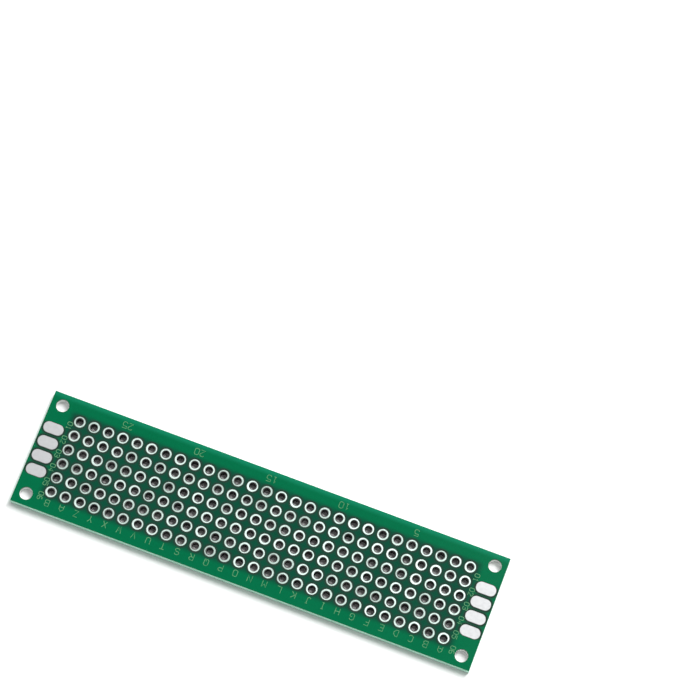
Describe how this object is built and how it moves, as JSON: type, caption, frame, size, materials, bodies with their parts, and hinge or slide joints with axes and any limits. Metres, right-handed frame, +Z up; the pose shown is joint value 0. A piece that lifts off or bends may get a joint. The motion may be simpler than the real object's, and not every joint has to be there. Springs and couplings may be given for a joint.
{
  "type": "prototype board",
  "caption": "Double-sided prototype board with a grid of plated through-holes, corner screw holes and oblong solder pads at both ends.",
  "frame": {"origin": "centre of the underside, level with the lands that the board rests on", "axes": "+X along the board, +Y across it, +Z up out of the printed face"},
  "size_m": [0.08, 0.02, 0.0016],
  "materials": {
    "laminate": "matte",
    "solder_mask": "gloss",
    "tinned_plating": "satin",
    "tinned_pad": "satin",
    "legend_ink": "matte"
  },
  "bodies": {
    "root": {"laminate": "laminate", "solder_mask_top": "solder_mask", "solder_mask_bottom": "solder_mask", "plated_holes_01": "tinned_plating", "plated_holes_02": "tinned_plating", "plated_holes_03": "tinned_plating", "plated_holes_04": "tinned_plating", "plated_holes_05": "tinned_plating", "plated_holes_06": "tinned_plating", "plated_holes_07": "tinned_plating", "plated_holes_08": "tinned_plating", "plated_holes_09": "tinned_plating", "plated_holes_10": "tinned_plating", "plated_holes_11": "tinned_plating", "plated_holes_12": "tinned_plating", "plated_holes_13": "tinned_plating", "plated_holes_14": "tinned_plating", "plated_holes_15": "tinned_plating", "plated_holes_16": "tinned_plating", "plated_holes_17": "tinned_plating", "plated_holes_18": "tinned_plating", "plated_holes_19": "tinned_plating", "plated_holes_20": "tinned_plating", "plated_holes_21": "tinned_plating", "plated_holes_22": "tinned_plating", "plated_holes_23": "tinned_plating", "plated_holes_24": "tinned_plating", "plated_holes_25": "tinned_plating", "plated_holes_26": "tinned_plating", "plated_holes_27": "tinned_plating", "plated_holes_28": "tinned_plating", "end_pad_left_top_1": "tinned_pad", "end_pad_left_top_2": "tinned_pad", "end_pad_left_top_3": "tinned_pad", "end_pad_left_top_4": "tinned_pad", "end_pad_left_bottom_1": "tinned_pad", "end_pad_left_bottom_2": "tinned_pad", "end_pad_left_bottom_3": "tinned_pad", "end_pad_left_bottom_4": "tinned_pad", "end_pad_right_top_1": "tinned_pad", "end_pad_right_top_2": "tinned_pad", "end_pad_right_top_3": "tinned_pad", "end_pad_right_top_4": "tinned_pad", "end_pad_right_bottom_1": "tinned_pad", "end_pad_right_bottom_2": "tinned_pad", "end_pad_right_bottom_3": "tinned_pad", "end_pad_right_bottom_4": "tinned_pad"}
  },
  "joints": []
}
